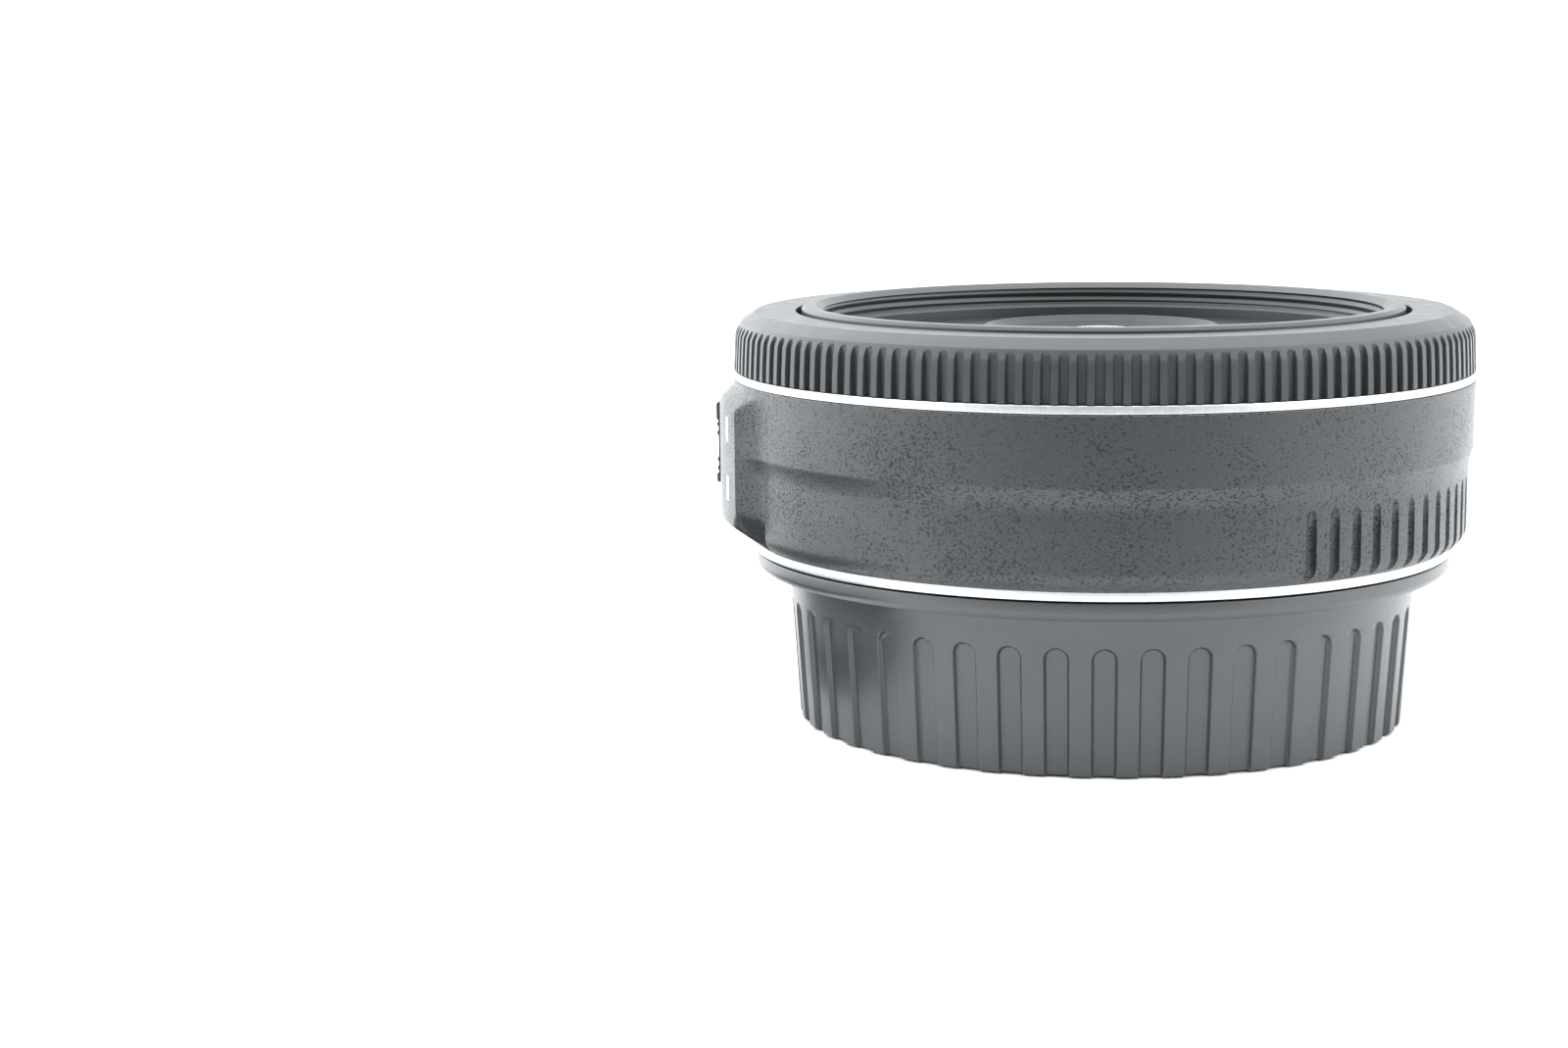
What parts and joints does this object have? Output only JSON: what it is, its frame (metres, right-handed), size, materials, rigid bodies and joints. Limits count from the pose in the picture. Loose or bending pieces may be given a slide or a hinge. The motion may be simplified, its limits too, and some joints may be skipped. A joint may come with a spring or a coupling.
{
  "type": "prime camera lens",
  "caption": "Slim autofocus prime lens on its bayonet rear cap, with ribbed focus ring, focus-mode switch, extending lens unit, iris diaphragm and threaded front rim.",
  "frame": {"origin": "centre of the rear cap's flat end, which is on the optical axis", "axes": "+Z along the optical axis towards the subject; -Y towards the top of the lens in use; -X towards the focus-mode switch"},
  "size_m": [0.0699, 0.0682, 0.0385],
  "materials": {
    "barrel_plastic": "fine leathery grain, satin black",
    "ring_plastic": "smooth satin black",
    "cap_plastic": "fine matt black moulding",
    "inner_plastic": "matt black, anti-reflective",
    "blade_steel": "blackened thin steel",
    "satin_silver": "satin turned silver",
    "plain_steel": "plain steel",
    "gold": "gold plated",
    "board": "green solder mask",
    "chip": "moulded chip package",
    "gear_nylon": "natural nylon",
    "coated_glass": "anti-reflection coated optical glass"
  },
  "bodies": {
    "lens_body": {"barrel_shell": "barrel_plastic", "front_trim_ring": "satin_silver", "mount_plate": "satin_silver", "mount_screw_1": "plain_steel", "mount_screw_2": "plain_steel", "mount_screw_3": "plain_steel", "mount_screw_4": "plain_steel", "rear_baffle": "inner_plastic", "contact_block": "inner_plastic", "contact_pin_1": "gold", "contact_pin_2": "gold", "contact_pin_3": "gold", "contact_pin_4": "gold", "contact_pin_5": "gold", "contact_pin_6": "gold", "contact_pin_7": "gold", "main_frame": "inner_plastic", "frame_screw_1": "plain_steel", "frame_screw_2": "plain_steel", "frame_screw_3": "plain_steel", "encoder_sensor": "chip", "circuit_board": "board", "controller_chip": "chip", "switch_board": "board", "gear_plate": "plain_steel", "idler_post": "plain_steel", "motor_plate": "plain_steel", "focus_motor": "plain_steel"},
    "focus_ring": {"focus_ring_grip": "ring_plastic", "encoder_comb": "inner_plastic"},
    "cam_sleeve": {"cam_sleeve": "inner_plastic"},
    "idler_gear": {"idler_gear": "gear_nylon"},
    "motor_pinion": {"motor_pinion": "gear_nylon"},
    "lens_unit": {"front_barrel": "ring_plastic", "name_ring": "ring_plastic", "front_bezel": "ring_plastic", "front_cell": "inner_plastic", "rear_cell": "inner_plastic", "rear_retainer": "inner_plastic", "front_element": "coated_glass", "second_element": "coated_glass", "third_element": "coated_glass", "fourth_element": "coated_glass", "fifth_element": "coated_glass", "rear_element": "coated_glass", "iris_housing": "inner_plastic", "iris_cover": "inner_plastic", "aperture_motor": "plain_steel"},
    "aperture_pinion": {"aperture_pinion": "gear_nylon"},
    "iris_drive_ring": {"iris_drive_ring": "inner_plastic"},
    "iris_blade_1": {"iris_blade_1": "blade_steel"},
    "iris_blade_2": {"iris_blade_2": "blade_steel"},
    "iris_blade_3": {"iris_blade_3": "blade_steel"},
    "iris_blade_4": {"iris_blade_4": "blade_steel"},
    "iris_blade_5": {"iris_blade_5": "blade_steel"},
    "iris_blade_6": {"iris_blade_6": "blade_steel"},
    "iris_blade_7": {"iris_blade_7": "blade_steel"},
    "focus_mode_switch": {"focus_mode_switch": "ring_plastic"},
    "rear_cap": {"rear_cap": "cap_plastic"}
  },
  "joints": [
    {"name": "focus_ring_turn", "type": "hinge", "parent": "lens_body", "child": "focus_ring", "pos_m": [0, 0, 0.0354], "axis": [0, 0, 1], "continuous": true},
    {"name": "cam_sleeve_turn", "type": "hinge", "parent": "lens_body", "child": "cam_sleeve", "pos_m": [0, 0, 0.0265], "axis": [0, 0, 1], "range_deg": [0, 100]},
    {"name": "lens_unit_slide", "type": "slide", "parent": "lens_body", "child": "lens_unit", "axis": [0, 0, 1], "range_m": [0, 0.005]},
    {"name": "idler_spin", "type": "hinge", "parent": "lens_body", "child": "idler_gear", "pos_m": [0.01801, -0.0104, 0.0198], "axis": [0, 0, 1], "range_deg": [0, 389]},
    {"name": "motor_pinion_spin", "type": "hinge", "parent": "lens_body", "child": "motor_pinion", "pos_m": [0.0205, -0.0003, 0.0198], "axis": [0, 0, 1], "range_deg": [-875.1, 0]},
    {"name": "iris_ring_turn", "type": "hinge", "parent": "lens_unit", "child": "iris_drive_ring", "pos_m": [0, 0, 0.0284], "axis": [0, 0, 1], "range_deg": [0, 20]},
    {"name": "aperture_pinion_spin", "type": "hinge", "parent": "lens_unit", "child": "aperture_pinion", "pos_m": [-0.01472, 0.0085, 0.0284], "axis": [0, 0, 1], "range_deg": [-150.1, 0]},
    {"name": "iris_blade_1_swing", "type": "hinge", "parent": "lens_unit", "child": "iris_blade_1", "pos_m": [0, -0.0108, 0.0263], "axis": [0, 0, 1], "range_deg": [0, 26.1]},
    {"name": "iris_blade_2_swing", "type": "hinge", "parent": "lens_unit", "child": "iris_blade_2", "pos_m": [0.00844, -0.00673, 0.02652], "axis": [0, 0, 1], "range_deg": [0, 26.1]},
    {"name": "iris_blade_3_swing", "type": "hinge", "parent": "lens_unit", "child": "iris_blade_3", "pos_m": [0.01053, 0.0024, 0.02674], "axis": [0, 0, 1], "range_deg": [0, 26.1]},
    {"name": "iris_blade_4_swing", "type": "hinge", "parent": "lens_unit", "child": "iris_blade_4", "pos_m": [0.00469, 0.00973, 0.02696], "axis": [0, 0, 1], "range_deg": [0, 26.1]},
    {"name": "iris_blade_5_swing", "type": "hinge", "parent": "lens_unit", "child": "iris_blade_5", "pos_m": [-0.00469, 0.00973, 0.02718], "axis": [0, 0, 1], "range_deg": [0, 26.1]},
    {"name": "iris_blade_6_swing", "type": "hinge", "parent": "lens_unit", "child": "iris_blade_6", "pos_m": [-0.01053, 0.0024, 0.0274], "axis": [0, 0, 1], "range_deg": [0, 26.1]},
    {"name": "iris_blade_7_swing", "type": "hinge", "parent": "lens_unit", "child": "iris_blade_7", "pos_m": [-0.00844, -0.00673, 0.02762], "axis": [0, 0, 1], "range_deg": [0, 26.1]},
    {"name": "focus_mode_slide", "type": "slide", "parent": "lens_body", "child": "focus_mode_switch", "axis": [0, 0, -1], "range_m": [0, 0.002]},
    {"name": "rear_cap_twist", "type": "hinge", "parent": "lens_body", "child": "rear_cap", "pos_m": [0, 0, 0.0078], "axis": [0, 0, -1], "range_deg": [0, 60]}
  ],
  "couplings": [
    {"joint": "lens_unit_slide", "follows": "cam_sleeve_turn", "m_per_rad": 0.0028645},
    {"joint": "idler_spin", "follows": "cam_sleeve_turn", "ratio": 3.8889},
    {"joint": "motor_pinion_spin", "follows": "cam_sleeve_turn", "ratio": -8.75},
    {"joint": "aperture_pinion_spin", "follows": "iris_ring_turn", "ratio": -7.5},
    {"joint": "iris_blade_1_swing", "follows": "iris_ring_turn", "ratio": 1.3},
    {"joint": "iris_blade_2_swing", "follows": "iris_ring_turn", "ratio": 1.3},
    {"joint": "iris_blade_3_swing", "follows": "iris_ring_turn", "ratio": 1.3},
    {"joint": "iris_blade_4_swing", "follows": "iris_ring_turn", "ratio": 1.3},
    {"joint": "iris_blade_5_swing", "follows": "iris_ring_turn", "ratio": 1.3},
    {"joint": "iris_blade_6_swing", "follows": "iris_ring_turn", "ratio": 1.3},
    {"joint": "iris_blade_7_swing", "follows": "iris_ring_turn", "ratio": 1.3}
  ]
}
